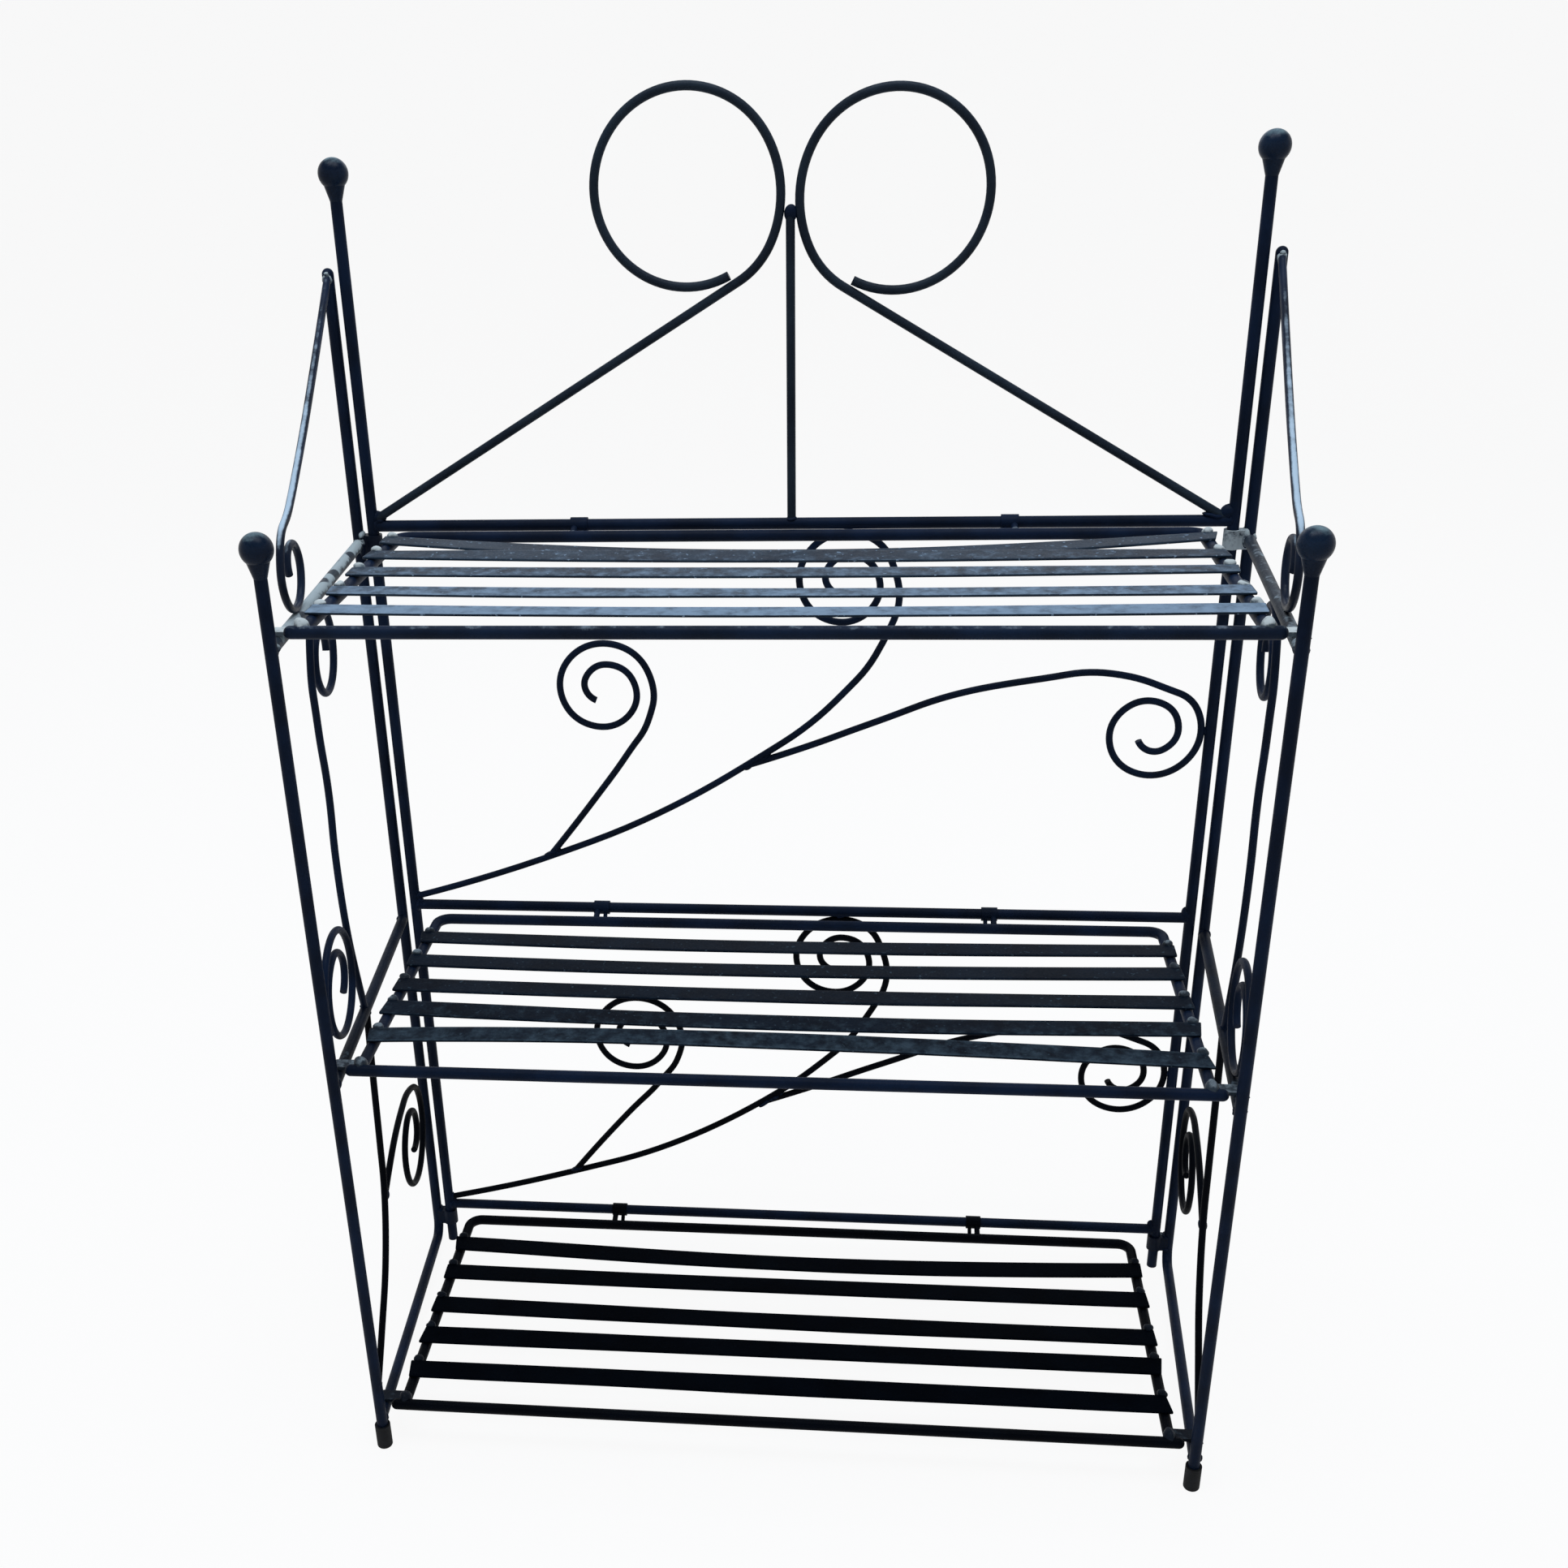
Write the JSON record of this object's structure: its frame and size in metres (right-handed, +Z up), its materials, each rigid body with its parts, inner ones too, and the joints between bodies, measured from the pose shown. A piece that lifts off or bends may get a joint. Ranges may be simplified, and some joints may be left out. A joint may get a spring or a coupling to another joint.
{
  "type": "bakers rack",
  "caption": "Folding bakers rack of scrolled iron rod: slatted shelves hinge up on the back and hook over side frames that swing open, with ball finials and a looped crest.",
  "frame": {"origin": "on the floor, under the middle of the rack's bounding box", "axes": "+Z up, -Y towards the front, +X to the right as seen from the front"},
  "size_m": [0.631, 0.273, 0.907],
  "materials": {
    "back_rod_paint": "worn blue-black paint on round iron rod",
    "side_rod_paint": "worn blue-black paint, chalky on its upper sides",
    "shelf_rod_paint": "worn blue-black paint with a soft sheen",
    "slat_paint": "matt blue-black paint with scuffs and pale specks",
    "worn_paint": "paint rubbed to a chalky pale grey",
    "foot_rubber": "matt black rubber"
  },
  "bodies": {
    "back_frame": {"bottom_crossbar": "back_rod_paint", "crest_centre_rod": "back_rod_paint", "left_back_finial": "back_rod_paint", "left_back_post": "back_rod_paint", "left_crest_scroll": "back_rod_paint", "lower_back_left_branch": "back_rod_paint", "lower_back_right_branch": "back_rod_paint", "lower_back_stem": "back_rod_paint", "middle_crossbar": "back_rod_paint", "right_back_finial": "back_rod_paint", "right_back_post": "back_rod_paint", "right_crest_scroll": "back_rod_paint", "top_crossbar": "back_rod_paint", "upper_back_left_branch": "back_rod_paint", "upper_back_right_branch": "back_rod_paint", "upper_back_stem": "back_rod_paint"},
    "top_shelf": {"top_shelf_frame": "shelf_rod_paint", "top_shelf_front_rod": "shelf_rod_paint", "top_shelf_hinge_eyes": "shelf_rod_paint", "top_shelf_hooks": "worn_paint", "top_shelf_slats": "slat_paint"},
    "middle_shelf": {"middle_shelf_frame": "shelf_rod_paint", "middle_shelf_front_rod": "shelf_rod_paint", "middle_shelf_hinge_eyes": "shelf_rod_paint", "middle_shelf_hooks": "worn_paint", "middle_shelf_slats": "slat_paint"},
    "bottom_shelf": {"bottom_shelf_frame": "shelf_rod_paint", "bottom_shelf_front_rod": "shelf_rod_paint", "bottom_shelf_hinge_eyes": "shelf_rod_paint", "bottom_shelf_hooks": "worn_paint", "bottom_shelf_slats": "slat_paint"},
    "left_side": {"left_arm": "side_rod_paint", "left_foot_cap": "foot_rubber", "left_front_curl": "side_rod_paint", "left_front_finial": "side_rod_paint", "left_front_post": "side_rod_paint", "left_hinge_collars": "worn_paint", "left_lower_branch": "side_rod_paint", "left_lower_scroll": "side_rod_paint", "left_middle_rail": "side_rod_paint", "left_top_rail": "side_rod_paint", "left_upper_scroll": "side_rod_paint", "left_upright": "side_rod_paint"},
    "right_side": {"right_arm": "side_rod_paint", "right_foot_cap": "foot_rubber", "right_front_curl": "side_rod_paint", "right_front_finial": "side_rod_paint", "right_front_post": "side_rod_paint", "right_hinge_collars": "worn_paint", "right_lower_branch": "side_rod_paint", "right_lower_scroll": "side_rod_paint", "right_middle_rail": "side_rod_paint", "right_top_rail": "side_rod_paint", "right_upper_scroll": "side_rod_paint", "right_upright": "side_rod_paint"}
  },
  "joints": [
    {"name": "top_shelf_lift", "type": "hinge", "parent": "back_frame", "child": "top_shelf", "pos_m": [0, 0.12648, 0.627], "axis": [-1, 0, 0], "range_deg": [0, 76]},
    {"name": "middle_shelf_lift", "type": "hinge", "parent": "back_frame", "child": "middle_shelf", "pos_m": [0, 0.12648, 0.326], "axis": [-1, 0, 0], "range_deg": [0, 76]},
    {"name": "bottom_shelf_lift", "type": "hinge", "parent": "back_frame", "child": "bottom_shelf", "pos_m": [0, 0.12648, 0.037], "axis": [-1, 0, 0], "range_deg": [0, 76]},
    {"name": "left_side_swing", "type": "hinge", "parent": "back_frame", "child": "left_side", "pos_m": [-0.3, 0.12648, 0], "axis": [0, 0, -1], "range_deg": [0, 68.4]},
    {"name": "right_side_swing", "type": "hinge", "parent": "back_frame", "child": "right_side", "pos_m": [0.3, 0.12648, 0], "axis": [0, 0, 1], "range_deg": [0, 68.4]}
  ],
  "couplings": [
    {"joint": "middle_shelf_lift", "follows": "top_shelf_lift", "ratio": 1},
    {"joint": "bottom_shelf_lift", "follows": "top_shelf_lift", "ratio": 1},
    {"joint": "left_side_swing", "follows": "top_shelf_lift", "ratio": 0.9},
    {"joint": "right_side_swing", "follows": "top_shelf_lift", "ratio": 0.9}
  ]
}
